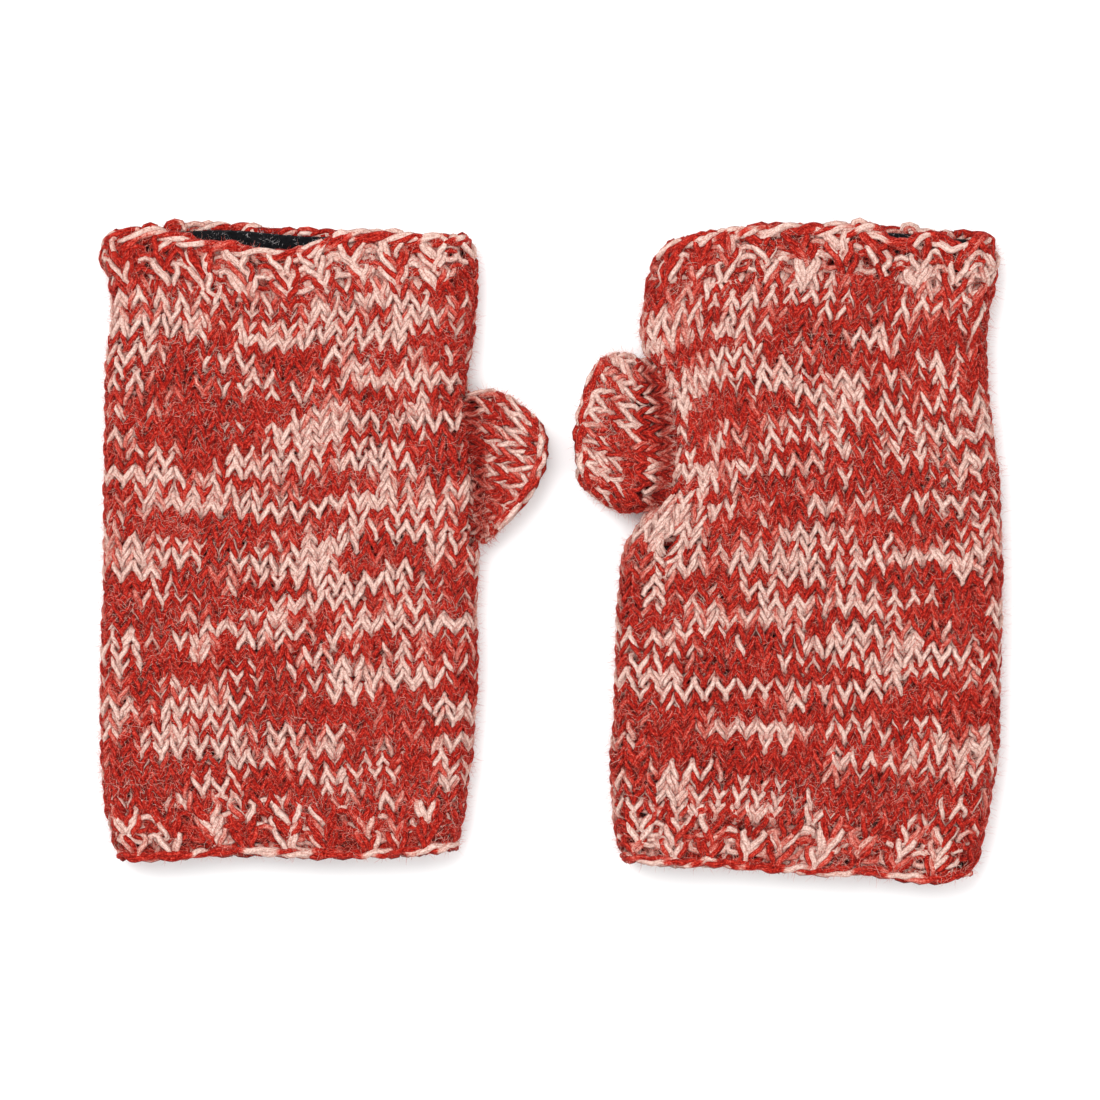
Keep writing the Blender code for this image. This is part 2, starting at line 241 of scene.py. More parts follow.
def hand_point(m, u, v, n):
    """Point on the hand fabric: u in wales, v in rows (0 to ROWS, the chains lie beyond), n outwards."""
    low_edge, high_edge = (m["little_edge"], m["thumb_edge"])[::m["side"]]
    share = v / ROWS
    y = ROWS_FROM + share * ROWS_LONG      # a first guess, which the loop brings to the outline
    for _ in range(3):
        low, high = curve(low_edge, y), curve(high_edge, y)
        flat = (high - low) / 2 - HAND_B
        spine, dx, dz = around(settle(m, u / WALES, flat), flat, KNIT_R)
        x = (low + high) / 2 + spine * flat + dx * (KNIT_R + FOLD_PROUD + n)
        start, end = curve(m["wrist_end"], x), curve(m["finger_end"], x)
        upper = np.clip(dz * 0.8 + 0.5, 0, 1)      # the dips are in the upper side
        for at, width, depth in m["dips"]:
            end = end - depth * upper * np.exp(-((x - at) / width) ** 4)
        y = start + CHAIN_HIGH + share * (end - start - 2 * CHAIN_HIGH)
    seed = m["wave_seed"]
    z = HAND_B + dz * (KNIT_R + n)
    waves = wave(RIPPLE, x, y, seed) + wave(SWELL, x, y, seed)
    z = z + (waves - SAG * (1 - spine**2)) * np.maximum(dz, 0)
    x = x + wave(DRIFT_X, x, y, seed)
    y = y + wave(DRIFT_Y, x, y, seed)
    if m["gap"]:
        x, y = push_aside(m["gap"], x, y, dz > 0.5)
    normal = np.stack([dx, 0 * dx, dz], -1)
    return np.stack([x, y, z], -1) + SHIFT, normal


def thumb_point(m, u, v, n):
    """Point on the thumb fabric: v from 0, inside the hand, to thumb_rows at the open end."""
    base_x, base_y, half = m["thumb_base"]
    side, root, rows = m["side"], m["root_rows"], m["thumb_rows"]
    step = np.clip((v - root) / (rows - root), 0, THUMB_BEYOND)
    spine, dy, dz = around((u + THUMB_TWIST * step) / THUMB_WALES * side, half - THUMB_B, THUMB_R)
    w = spine * (1 - THUMB_B / half) + dy * (THUMB_R + n + THUMB_PROUD) / half
    end_x = three(m["thumb_x"], w) - THUMB_CHAIN * side
    x = (1 - step) * base_x + step * end_x
    y = (1 - step) * (base_y + half * w) + step * three(m["thumb_y"], w)
    fore, rear = m["thumb_bulge"]
    y = y + 4 * step * np.maximum(1 - step, 0) * np.where(w > 0, fore, -rear) * w**2
    edge = curve(m["thumb_edge"], base_y + half * w)
    inner = np.clip(1 - v / root, -1, 1.5)
    x = np.where(v < root, base_x + inner * (edge - side * ROOT_DEEP - base_x), x)
    pinch = 1 - PINCH * np.exp(-(((x - edge) * side - PINCH_AT) / PINCH_WIDE) ** 2)
    z = THUMB_Z + dz * (THUMB_R * pinch + n)
    normal = np.stack([0 * dy, dy, dz], -1)
    return np.stack([x, y, z], -1) + SHIFT, normal


def thumb_hole(m, p):
    """True where a point of the hand's yarn falls in the thumb opening."""
    _, base_y, half = m["thumb_base"]
    x, y, z = p[..., 0], p[..., 1], p[..., 2]
    edge = curve(m["thumb_edge"], y)
    return ((np.abs(y - base_y) < half - HOLE_SHORT) & (np.abs(z - THUMB_Z) < HOLE_B)
            & (np.abs(x - edge) < HOLE_DEEP))


# ---- yarn

LEAN = 0.31               # how far each leg of a stitch leans, in wales
TALL = 0.96               # half a loop's height, in rows
DEEP = 0.85               # how far legs stand before heads
RIB_PROUD = 0.38          # how far a rib's columns stand before and behind the fabric
RIB_PLUMP = 1.16          # the rib's yarn is looser, and so fatter
RIB_CROWD = 0.10          # how far a rib's columns draw together in pairs, in wales
RIB_HELD = (0.125, 0.875)     # the part of a rib's stitch that isn't crossing to the next column
STRAND_R = 0.80
STRAND_UNEVEN = 0.13      # share by which a strand gets thicker and thinner
STRAND_APART = 0.68       # from the middle of a yarn to the middle of each strand
STRAND_FLAT = 0.62        # how much of that is left where one strand lies before the other
SHADE_DEPTHS = (0.35, 2.25)   # painted shade: yarn is painted darkest up to this far before the fabric, and lightest from this far
FACING = 2.1              # how much more light the front of a strand gets than its sides
SEGMENTS = 14             # of the mesh, along one stitch
SIDES = 6
FOLDS = 2                 # strips of the baking map that one strand fills
BAKE_MARGIN = 0.06        # gap on both sides of those strips, as a share of one
TAPER = 0.08              # share of a strand's radius that is left where it ends
EPSILON = 1e-9

# how uneven the stitches are: size (a share for lean, tall and deep), and what is added to the seed
UNEVEN = dict(lean=(0.20, 1), across=(0.08, 3), tall=(0.12, 4), along=(0.10, 5), deep=(0.18, 6),
              out=(0.14, 7), rib_across=(0.26, 8), rib_along=(0.22, 9))
TURNS = [(1.9, 2.3), (0.8, 0.9)]    # how far the strands wind round each other, and in how many stitches

DYE_ROW = 43.0            # how many stitches further along the dye each row starts
DYE_RUNS = [(0.52, 2.3), (0.46, 0.9), (0.34, 8.0)]    # runs of dye along the yarn: weight and stitches
DYE_PATCH = 0.26          # weight of patches that lie over several rows
DYE_UNLIKE = 0.30         # how far the two strands of a yarn differ
DYE_BIAS = 0.175          # the more of it, the more of the yarn is red
RED_BELOW = DYE_BIAS - 0.21
PINK_ABOVE = DYE_BIAS + 0.14


def dye_of(course, wale, strand, seed):
    """How pink a strand is (0 red, 1 pink) where the yarn passes this stitch."""
    along = course * DYE_ROW + wale
    unlike = DYE_UNLIKE * (1 - 2 * strand) * noise1(along / 3.0, seed + 7)
    value = layers(DYE_RUNS, along, seed + 31 * strand)
    value = value + DYE_PATCH * noise2(wale / 4.0, course / 1.8, seed + 5)
    return ease(value + unlike, RED_BELOW, PINK_ABOVE)


def tubes(path, across, out, radius, dye, depth, sides=SIDES, keep=None, folds=1):
    """Round tubes along rows of points (tube, point, xyz): vertices, quads, tints (dye and painted shade),
    yarn and baking UVs.
    """
    count, points = path.shape[:2]
    if keep is None:
        keep = np.ones((count, points - 1), bool)
    whole = np.concatenate([keep[:, :1], keep], 1) & np.concatenate([keep, keep[:, -1:]], 1)
    radius = radius * np.where(whole, 1.0, TAPER)
    ring = np.arange(sides) * 2 * math.pi / sides
    shell = np.cos(ring)[:, None] * across[:, :, None, :] + np.sin(ring)[:, None] * out[:, :, None, :]
    verts = path[:, :, None, :] + radius[:, :, None, None] * shell
    tube, p = (index[:, None] for index in np.nonzero(keep))
    s = np.arange(sides)[None, :]
    first, after = (tube * points + p) * sides, (s + 1) % sides
    quads = np.stack([first + s, first + after, first + sides + after, first + sides + s], -1)
    yarn, bake = tube_uvs(path, tube, p, s, sides, folds)
    # painted shade: a strand's sides and yarn that lies deep in the fabric are painted darker, where shade
    # falls between stitches
    facing = np.abs(np.sin(ring))
    open_to_light = ease(depth[..., None] + FACING * radius[..., None] * facing, *SHADE_DEPTHS)
    tints = np.stack([np.repeat(dye.reshape(-1), sides), open_to_light.reshape(-1)], -1)
    return verts.reshape(-1, 3), quads.reshape(-1, 4), tints, yarn.reshape(-1, 2), bake.reshape(-1, 2)


def tube_uvs(path, tube, p, s, sides, folds):
    """Yarn UVs (share of a turn, centimetres along) and baking UVs (strips side by side) of the quads."""
    count, points = path.shape[:2]
    step = np.linalg.norm(np.diff(path, axis=1), axis=-1)
    length = np.concatenate([np.zeros((count, 1)), np.cumsum(step, axis=1)], 1) / 10
    start = 3.7 * tube                     # so that no two strands have the same fibres
    yarn = corners(s / sides, (s + 1) / sides, length[tube, p] + start, length[tube, p + 1] + start)
    per = math.ceil((points - 1) / folds)
    strip = tube * folds + p // per
    wide = 1 - 2 * BAKE_MARGIN
    low = (strip + BAKE_MARGIN + wide * s / sides) / (count * folds)
    high = (strip + BAKE_MARGIN + wide * (s + 1) / sides) / (count * folds)
    return yarn, corners(low, high, (p % per) / per, (p % per + 1) / per)[..., ::-1]


def corners(a0, a1, b0, b1):
    """UVs of each quad's corners, in the order that tubes gives them."""
    a0, a1, b0, b1 = np.broadcast_arrays(a0, a1, b0, b1)
    return np.stack([np.stack([a0, b0], -1), np.stack([a1, b0], -1),
                     np.stack([a1, b1], -1), np.stack([a0, b1], -1)], 2)


def doubled(path, normal, depth, turn, radius, apart, dyes, keep=None):
    """Two strands side by side along paths (yarn, point, xyz); turn says which lies in front."""
    along = unit(path[:, 2:] - path[:, :-2])
    path, normal = path[:, 1:-1], normal[:, 1:-1]
    across = unit(np.cross(along, normal))
    out = np.cross(across, along)
    strands, depths = [], []
    for angle in (turn, turn + math.pi):
        forward = STRAND_FLAT * apart * np.sin(angle)
        strands.append(path + (apart * np.cos(angle))[..., None] * across + forward[..., None] * out)
        depths.append(depth[:, 1:-1] + forward)
    both = [np.concatenate([a, a]) for a in (across, out)]
    keep = None if keep is None else np.concatenate([keep, keep])
    return tubes(np.concatenate(strands), *both, np.concatenate(radius), np.concatenate(dyes),
                 np.concatenate(depths), keep=keep, folds=FOLDS)


def knit(point, wales, rows, seed, end, ribbed=(), absent=None):
    """Rows of stitches over a fabric, each looping through the row before it."""
    t = np.arange(-1, wales * SEGMENTS + 2)[None, :] / SEGMENTS
    row = np.array(rows, float)[:, None]
    column = np.floor(t + EPSILON)
    tau = t - column
    yarn = row * wales + t                 # stitches along the yarn

    def jitter(kind):
        size, more = UNEVEN[kind]
        return size * noise1(yarn + more * 97.3, seed + more)

    u = t + LEAN * (1 + jitter("lean")) * np.sin(4 * math.pi * tau) + jitter("across")
    v = row + 0.5 - TALL * (1 + jitter("tall")) * np.cos(2 * math.pi * tau) + jitter("along")
    wave_out = -np.cos(4 * math.pi * tau)
    n = DEEP * (1 + jitter("deep")) * wave_out
    rib = np.isin(row, ribbed)
    face = np.where(column % 2 == 1, -1.0, 1.0)    # every other column of a rib shows its stitches' backs
    held = np.where((tau > RIB_HELD[0]) & (tau < RIB_HELD[1]), wave_out, 0.0)
    n = np.where(rib, face * (DEEP * held + RIB_PROUD * np.sin(math.pi * tau) ** 2), n) + jitter("out")
    u = np.where(rib, u - RIB_CROWD * np.cos(math.pi * u) + jitter("rib_across"), u)
    v = np.where(rib, v + jitter("rib_along"), v)
    path, normal = point(u, v, n)
    depth = np.where(v > end, 1 + np.abs(n), n)    # the last row's heads get light from both sides
    yarn, t = yarn[:, 1:-1], t[:, 1:-1]
    plump = STRAND_R * np.where(rib, RIB_PLUMP, 1.0)
    radius = [plump * (1 + STRAND_UNEVEN * noise1(yarn * 1.6 + 50 * k, seed + 60 + k)) for k in (0, 1)]
    dyes = [dye_of(row, t, k, seed + 100) for k in (0, 1)]
    keep = None if absent is None else ~absent(path[:, 1:-2] - SHIFT)
    return doubled(path, normal, depth, layers(TURNS, yarn, seed + 40), radius, STRAND_APART, dyes, keep)


# ---- edges

EDGE_APART = 0.62         # from the middle of an edge's yarn to the middle of each strand
EDGE_PLUMP = 1.10         # an edge's yarn is fatter
EDGE_TURN = 3.4           # wales in which its strands turn once round each other
ROPE_PITCH = 3.0          # wales in one turn of the bound-off edge
ROPE_TALL = 0.23          # how far its yarns swing, in rows
ROPE_DEEP = 0.85          # and in millimetres
ROPE_PROUD = 0.40
ROPE_BEYOND = 0.20        # how far beyond the rows its middle lies, in rows
ROPE_SEGMENTS = 10        # of the mesh, in one wale
CAST_PROUD = 0.75         # how far before the fabric's middle the cast-on edge's front yarn lies
CAST_APART = 1.5          # how far behind it the other yarn lies
CAST_BEYOND = 0.38
CAST_SEGMENTS = 8


def edge_stations(wales, segments):
    """Places along an edge, in wales, and the two yarns' numbers."""
    return np.arange(-1, wales * segments + 2)[None, :] / segments, np.array([[0.0], [1.0]])


def bind_off(point, wales, row, seed):
    """A thick rope-like edge: two yarns wound round each other, rising to the right."""
    t, yarns = edge_stations(wales, ROPE_SEGMENTS)
    wind = 2 * math.pi * (t / ROPE_PITCH + yarns / 2 + 0.10 * noise1(t / 2.1, seed + 3))
    swell = 1 + 0.22 * noise1(t / 1.3 + 40 * yarns, seed)
    u = t + 0 * yarns
    v = row + ROPE_TALL * swell * np.cos(wind) + 0.07 * noise1(t * 0.6, seed + 1)
    n = ROPE_PROUD + ROPE_DEEP * swell * np.sin(wind)
    return edge_yarn(point(u, v, n), n, (t + 60 * yarns)[:, 1:-1], seed)


def cast_on(point, wales, row, seed):
    """Two yarns lying along an edge, one before the other."""
    t, yarns = edge_stations(wales, CAST_SEGMENTS)
    u = t + 0 * yarns
    v = row + 0.16 * yarns + 0.10 * noise1(t * 0.9 + 40 * yarns, seed) + 0.05 * np.sin(2 * math.pi * t)
    n = CAST_PROUD - CAST_APART * yarns + 0.25 * noise1(t * 0.7 + 30 * yarns, seed + 2)
    return edge_yarn(point(u, v, n), n, (t + 60 * yarns)[:, 1:-1], seed)


def edge_yarn(placed, depth, t, seed):
    """The strands of an edge's yarns, lit from both sides because nothing lies beyond them."""
    path, normal = placed
    depth = 0.8 + np.abs(depth)
    turn = 2 * math.pi * t / EDGE_TURN + 1.2 * noise1(t / 2.0, seed + 8)
    radius = [STRAND_R * (EDGE_PLUMP + 0.14 * noise1(t * 1.3 + 50 * k, seed + 9)) for k in (0, 1)]
    dyes = [dye_of(seed % 97, t, k, seed + 9) for k in (0, 1)]
    return doubled(path, normal, depth, turn, radius, EDGE_APART, dyes)


# ---- loose fibres

# kinds of fibre: how many, how long, how steeply they leave the fabric, from how far outside its middle
# and how wide
LYING = dict(count=25000, length=(1.5, 4.0), lift=(0.0, 0.35), base=1.35, width=0.065)
STANDING = dict(count=28000, length=(1.6, 4.4), lift=(0.4, 1.8), base=1.35, width=0.036)
PILED = dict(count=6000, length=(1.6, 4.2), lift=(0.1, 1.2), base=-3.4, width=0.075, inward=True)
ON_THUMB = dict(count=3600, length=(1.5, 4.0), lift=(0.0, 1.2), base=1.2, width=0.065)

FIBRE_TAPER = (1.0, 1.0, 0.8, 0.3)    # share of its width at each of a fibre's points, root to tip
FIBRE_OWN = 0.6           # share of a fibre's colour that it doesn't have in common with its neighbours
BASE_SPREAD = (-0.45, 0.20)   # how much further in or out it may start
CURL = 0.75               # how hard a fibre curls at each of its points
CURL_UNEVEN = 0.3
DROOP = 0.16              # how hard it turns back to the fabric there


def fuzz(point, wales, rows, seed, count, length, lift, base, width, inward=False, absent=None):
    """Fine curved fibres lying on a fabric or standing off it, as narrow ribbons."""
    rng = np.random.default_rng(seed)
    u, v = rng.uniform(0, wales, count), rng.uniform(rows[0], rows[1], count)
    root, normal = point(u, v, base + rng.uniform(*BASE_SPREAD, count))
    if inward:
        normal = -normal
    if absent is not None:
        kept = ~absent(root - SHIFT)
        u, v, root, normal = u[kept], v[kept], root[kept], normal[kept]
        count = len(u)
    points = curls(root, normal, rng.uniform(length[0], length[1], count), lift, rng)
    side = unit(np.cross(points[:, -1] - points[:, 0], normal + 0.5 * rng.normal(size=(count, 3))))
    taper = np.array(FIBRE_TAPER)[None, :, None] * width / 2
    verts = np.stack([points - side[:, None] * taper, points + side[:, None] * taper], 2)
    verts[..., 2] = np.maximum(verts[..., 2], FIBRE_GAP)
    steps = len(FIBRE_TAPER)
    first = np.arange(count)[:, None] * steps * 2 + np.arange(steps - 1)[None, :] * 2
    quads = np.stack([first, first + 1, first + 3, first + 2], -1).reshape(-1, 4)
    value = dye_of(np.floor(v), u, 0, seed) * (1 - FIBRE_OWN) + FIBRE_OWN * rng.uniform(0, 1, count)
    tints = np.stack([np.repeat(value, steps * 2), np.ones(count * steps * 2)], -1)
    return verts.reshape(-1, 3), quads, tints, None, None


def curls(root, normal, size, lift, rng):
    """Points along fibres that leave their roots every way round and curl back to the fabric."""
    count, steps = len(root), len(FIBRE_TAPER)
    axis = unit(rng.normal(size=(count, 3)))
    flat = unit(axis - (axis * normal).sum(-1, keepdims=True) * normal)
    heading = unit(flat + rng.uniform(lift[0], lift[1], count)[:, None] * normal)
    bend = unit(np.cross(heading, unit(rng.normal(size=(count, 3)))))
    curl = rng.uniform(-1.0, 1.0, count)
    points = [root]
    for i in range(steps - 1):
        turn = curl + rng.normal(0, CURL_UNEVEN, count)
        heading = unit(heading + (turn * CURL)[:, None] * bend - DROOP * normal * (i > 0))
        points.append(points[-1] + heading * (size / (steps - 1))[:, None])
    return np.stack(points, 1)


# ---- lining

LINING_OUT = -1.95        # offset of the lining's outer skin
LINING_IN = -3.8          # and of its inner one
LINING_ROLL = (-2.6, -3.3)    # offsets along its rolled edges
ROLL_OVER = 0.004         # how far those edges roll beyond the rows, as a share of the length
LINING_AROUND = 160       # points of the mesh, once round
LINING_ALONG = 64
PILE_FROM = -3.0          # the fleece is rough further in than this, and smoother further out
SMOOTHER = 0.4
SEAM_AT = -5.2            # offset of the seam's middle
SEAM_R = 1.0
SEAM_SHORT = 1.6          # rows that the seam stops before each end
SEAM_STITCH = 0.62        # rows to one stitch of its overlock
HEM_STITCHES = 60
HEM_TALL = 0.42           # rows that a whip stitch reaches over
HEM_OUT = 2.0             # how far in from the fabric's middle its stitches start
HEM_DEEP = 1.5            # and how much further in they go
HEM_THREAD_R = 0.26


def lining_shape(m, seed):
    """Fleece tube: outer skin, rolled edges and inner skin in one closed loop of rows."""
    u = np.arange(LINING_AROUND) / LINING_AROUND * WALES
    wall = [(LINING_OUT, s) for s in np.linspace(0, 1, LINING_ALONG)]
    wall += [(offset, 1 + ROLL_OVER) for offset in LINING_ROLL]
    wall += [(LINING_IN, s) for s in np.linspace(1, 0, LINING_ALONG)]
    wall += [(offset, -ROLL_OVER) for offset in LINING_ROLL[::-1]]
    rings = []
    for offset, s in wall:
        v = LINING_ROWS[0] + s * (LINING_ROWS[1] - LINING_ROWS[0])
        rough = (0.28 * noise2(u * 1.9 + 3, s * 130 + 0 * u, seed)
                 + 0.16 * noise2(u * 4.3, s * 290 + 0 * u, seed + 1))
        ring, _ = hand_point(m, u, v + 0 * u, offset + rough * (1 if offset < PILE_FROM else SMOOTHER))
        rings.append(ring)
    verts = np.stack(rings).reshape(-1, 3)
    r = np.arange(len(rings))[:, None] * LINING_AROUND
    after = (r + LINING_AROUND) % len(verts)
    k = np.arange(LINING_AROUND)[None, :]
    beside = (k + 1) % LINING_AROUND
    quads = np.stack([r + k, r + beside, after + beside, after + k], -1)
    return verts, quads.reshape(-1, 4), None, None, None


def cord(path, normal, radius, sides):
    """One round cord along points (point, xyz)."""
    along = unit(np.gradient(path, axis=0))
    across = unit(np.cross(along, normal))
    out = np.cross(across, along)
    frames = [a[None] for a in (path, across, out)]
    none = 0 * radius[None]
    verts, quads, _, _, _ = tubes(*frames, radius[None], none, none, sides=sides)
    return verts, quads, None, None, None


def seam_shape(m, seed):
    """The lining's joined edges inside the fold opposite the thumb, overlocked."""
    fold = 0.5 + 0.25 * m["side"]
    v = np.linspace(SEAM_SHORT, ROWS - SEAM_SHORT, 420)
    path, _ = hand_point(m, 0 * v + fold * WALES, v, 0 * v + SEAM_AT)
    radius = SEAM_R + 0.16 * np.sin(v * 2 * math.pi / SEAM_STITCH) + 0.1 * noise1(v * 3, seed)
    return cord(path, np.broadcast_to([0.0, 0.0, 1.0], path.shape), radius, 10)


def hem_shape(m, row, end, seed):
    """Whip stitches that hold the lining's edge to the knit; end is +1 at the fingers, -1 at the wrist."""
    per = 12
    t = np.arange(0, HEM_STITCHES * per + 1) / per
    tau = t % 1.0
    v = row + end * HEM_TALL * ease(1 - np.abs(2 * tau - 1), 0.1, 0.9)
    n = -HEM_OUT - HEM_DEEP * np.sin(math.pi * tau)
    path, normal = hand_point(m, t / HEM_STITCHES * WALES, v + 0.06 * noise1(t, seed), n)
    return cord(path, normal, np.full(len(t), HEM_THREAD_R), 5)


# ---- materials

WOOL = [(0.00, (0.140, 0.0016, 0.0011)), (0.16, (0.300, 0.0075, 0.0042)), (0.32, (0.530, 0.0330, 0.0190)),
        (0.50, (0.590, 0.160, 0.122)), (0.66, (0.655, 0.360, 0.297)), (0.82, (0.735, 0.492, 0.420)),
        (1.00, (0.795, 0.598, 0.528))]
DYE_SPAN = (0.20, 0.62)   # where red yarn sits on those colours, and how far on pink yarn is
FIBRE_TONE = [(0.38, (0.46, 0.42, 0.41)), (0.56, (1.0, 1.0, 1.0))]    # darker between a strand's fibres
HOLLOW = [(0.0, (0.26, 0.12, 0.11)), (1.0, (1.0, 1.0, 1.0))]     # painted shade: light that comes back out of a hollow
FLEECE = [(0.3, (0.0025, 0.0025, 0.003)), (0.7, (0.012, 0.012, 0.014))]
PILE = [(0.47, (0.004, 0.004, 0.005)), (0.56, (0.022, 0.021, 0.023)), (0.62, (0.42, 0.40, 0.40))]
THREAD = [(0.2, (0.008, 0.008, 0.009)), (0.8, (0.045, 0.042, 0.045))]


def node(tree, kind, **values):
    """A shader node with these inputs or settings."""
    made = tree.nodes.new(kind)
    for key, value in values.items():
        if key in made.inputs:
            made.inputs[key].default_value = value
        else:
            setattr(made, key, value)
    return made


def texture(tree, kind, **values):
    """The value of a texture that follows the object's own coordinates."""
    place = node(tree, "ShaderNodeTexCoord")
    made = node(tree, kind, **values)
    tree.links.new(place.outputs["Object"], made.inputs["Vector"])
    return made.outputs["Fac"]


def ramp(tree, value, stops):
    """Colours picked by a value."""
    made = tree.nodes.new("ShaderNodeValToRGB")
    while len(made.color_ramp.elements) < len(stops):
        made.color_ramp.elements.new(0.5)
    for element, (at, colour) in zip(made.color_ramp.elements, stops):
        element.position = at
        element.color = (*colour, 1.0)
    tree.links.new(value, made.inputs["Fac"])
    return made.outputs["Color"]


def weighted(tree, value, weight, offset):
    """A value times a weight, and an offset."""
    made = node(tree, "ShaderNodeMath", operation="MULTIPLY_ADD")
    tree.links.new(value, made.inputs[0])
    made.inputs[1].default_value = weight
    made.inputs[2].default_value = offset
    return made.outputs[0]


def added(tree, one, other):
    """The sum of two values, kept from 0 to 1."""
    made = node(tree, "ShaderNodeMath", operation="ADD", use_clamp=True)
    tree.links.new(one, made.inputs[0])
    tree.links.new(other, made.inputs[1])
    return made.outputs[0]


def multiplied(tree, share, one, other):
    """One colour times a share of the other."""
    made = node(tree, "ShaderNodeMix", data_type="RGBA", blend_type="MULTIPLY")
    made.inputs[0].default_value = share
    tree.links.new(one, made.inputs[6])
    tree.links.new(other, made.inputs[7])
    return made.outputs[2]


def bumps(tree, shader, height, strength, distance):
    """Small relief on a surface."""
    made = node(tree, "ShaderNodeBump", Strength=strength, Distance=distance)
    tree.links.new(height, made.inputs["Height"])
    tree.links.new(made.outputs["Normal"], shader.inputs["Normal"])


def new_material(name, roughness, sheen):
    """A dull cloth material, its node tree and its shader."""
    made = bpy.data.materials.new(name)
    made.use_nodes = True
    tree = made.node_tree
    shader = tree.nodes["Principled BSDF"]
    shader.inputs["Roughness"].default_value = roughness
    shader.inputs["Specular IOR Level"].default_value = 0.05
    shader.inputs["Sheen Weight"].default_value = sheen
    shader.inputs["Sheen Roughness"].default_value = 0.5
    return made, tree, shader


def wool_material(name, spun=True):
    """Dyed wool; spun wool also has the lay of its fibres and painted shade in the hollows between its
    stitches.
    """
    made, tree, shader = new_material(name, 0.92, 0.03)
    dye = node(tree, "ShaderNodeAttribute", attribute_name="dye")
    mottle = texture(tree, "ShaderNodeTexNoise", Scale=1900.0, Detail=2.0, Roughness=0.65)
    mixed = weighted(tree, dye.outputs["Fac"], DYE_SPAN[1], DYE_SPAN[0])
    mixed = added(tree, mixed, weighted(tree, mottle, 0.66, -0.33))
    if spun:
        fibres = fibre_pattern(tree)
        colour = ramp(tree, added(tree, mixed, weighted(tree, fibres, 1.00, -0.50)), WOOL)
        grain = added(tree, weighted(tree, fibres, 0.5, 0.0), weighted(tree, mottle, 0.5, 0.0))
        colour = multiplied(tree, 0.8, colour, ramp(tree, grain, FIBRE_TONE))
        # painted shade: the colour is darkened by the shade attribute in hollows and on strands' sides
        shade = node(tree, "ShaderNodeAttribute", attribute_name="shade")
        colour = multiplied(tree, 1.0, colour, ramp(tree, shade.outputs["Fac"], HOLLOW))
        bumps(tree, shader, fibres, 0.8, 0.0005)
    else:
        colour = ramp(tree, mixed, WOOL)
    tree.links.new(colour, shader.inputs["Base Color"])
    return made


def fibre_pattern(tree):
    """Noise drawn out along the yarn, and slanting round it as its fibres do."""
    yarn = node(tree, "ShaderNodeUVMap", uv_map="Yarn")
    lay = node(tree, "ShaderNodeMapping")
    lay.inputs["Scale"].default_value = (10.0, 3.4, 1.0)
    lay.inputs["Rotation"].default_value = (0.0, 0.0, 0.35)
    tree.links.new(yarn.outputs["UV"], lay.inputs["Vector"])
    fibres = node(tree, "ShaderNodeTexNoise", Scale=1.5, Detail=5.0, Roughness=0.7, Distortion=0.5)
    tree.links.new(lay.outputs["Vector"], fibres.inputs["Vector"])
    return fibres.outputs["Fac"]


def fleece_material():
    """Black fleece, nearly without a shine."""
    made, tree, shader = new_material("black_fleece", 0.95, 0.02)
    pile = texture(tree, "ShaderNodeTexNoise", Scale=900.0, Detail=5.0, Roughness=0.7)
    tree.links.new(ramp(tree, pile, FLEECE), shader.inputs["Base Color"])
    bumps(tree, shader, pile, 0.8, 0.0008)
    return made


def pile_material():
    """The fleece's own curls: black, with a few that catch the light."""
    made, tree, shader = new_material("black_pile", 0.8, 0.05)
    tone = texture(tree, "ShaderNodeTexNoise", Scale=500.0, Detail=2.0)
    tree.links.new(ramp(tree, tone, PILE), shader.inputs["Base Color"])
    return made


def thread_material():
    """Black sewing thread with its plies."""
    made, tree, shader = new_material("black_thread", 0.6, 0.1)
    ply = texture(tree, "ShaderNodeTexWave", Scale=900.0, Distortion=2.0)
    tree.links.new(ramp(tree, ply, THREAD), shader.inputs["Base Color"])
    bumps(tree, shader, ply, 0.5, 0.0003)
    return made


# ---- put the pair together

HAND_PIECES = [           # piece, its rows, and the CAD nodes that it replaces
    ("rib_wrist_yarn", range(0, RIB_ROWS), ["wrist_rib"]),
    ("knit_wrist_yarn", range(RIB_ROWS, PALM_ROWS[0]), ["hand_knit"]),
    ("knit_palm_yarn", range(*PALM_ROWS), []),
    ("knit_finger_yarn", range(PALM_ROWS[1], ROWS - RIB_ROWS), []),
    ("rib_finger_yarn", range(ROWS - RIB_ROWS, ROWS), ["finger_rib"]),
]
RIBBED = [*range(RIB_ROWS), *range(ROWS - RIB_ROWS, ROWS)]
FIBRE_ROWS = (-0.6, ROWS + 0.5)    # where the hand's fibres start and end
PILE_ROWS = 3.0           # how far in from the lining's ends its curls are made
HEM_IN = 0.3              # rows from the lining's edge to its hem
VALLEY_WIDE = 2.4         # of the valley between hand and thumb
VALLEY_LOSS = (0.75, 0.60)    # painted shade there: the shares of dye and of light that its yarn loses, so it is painted darker and redder
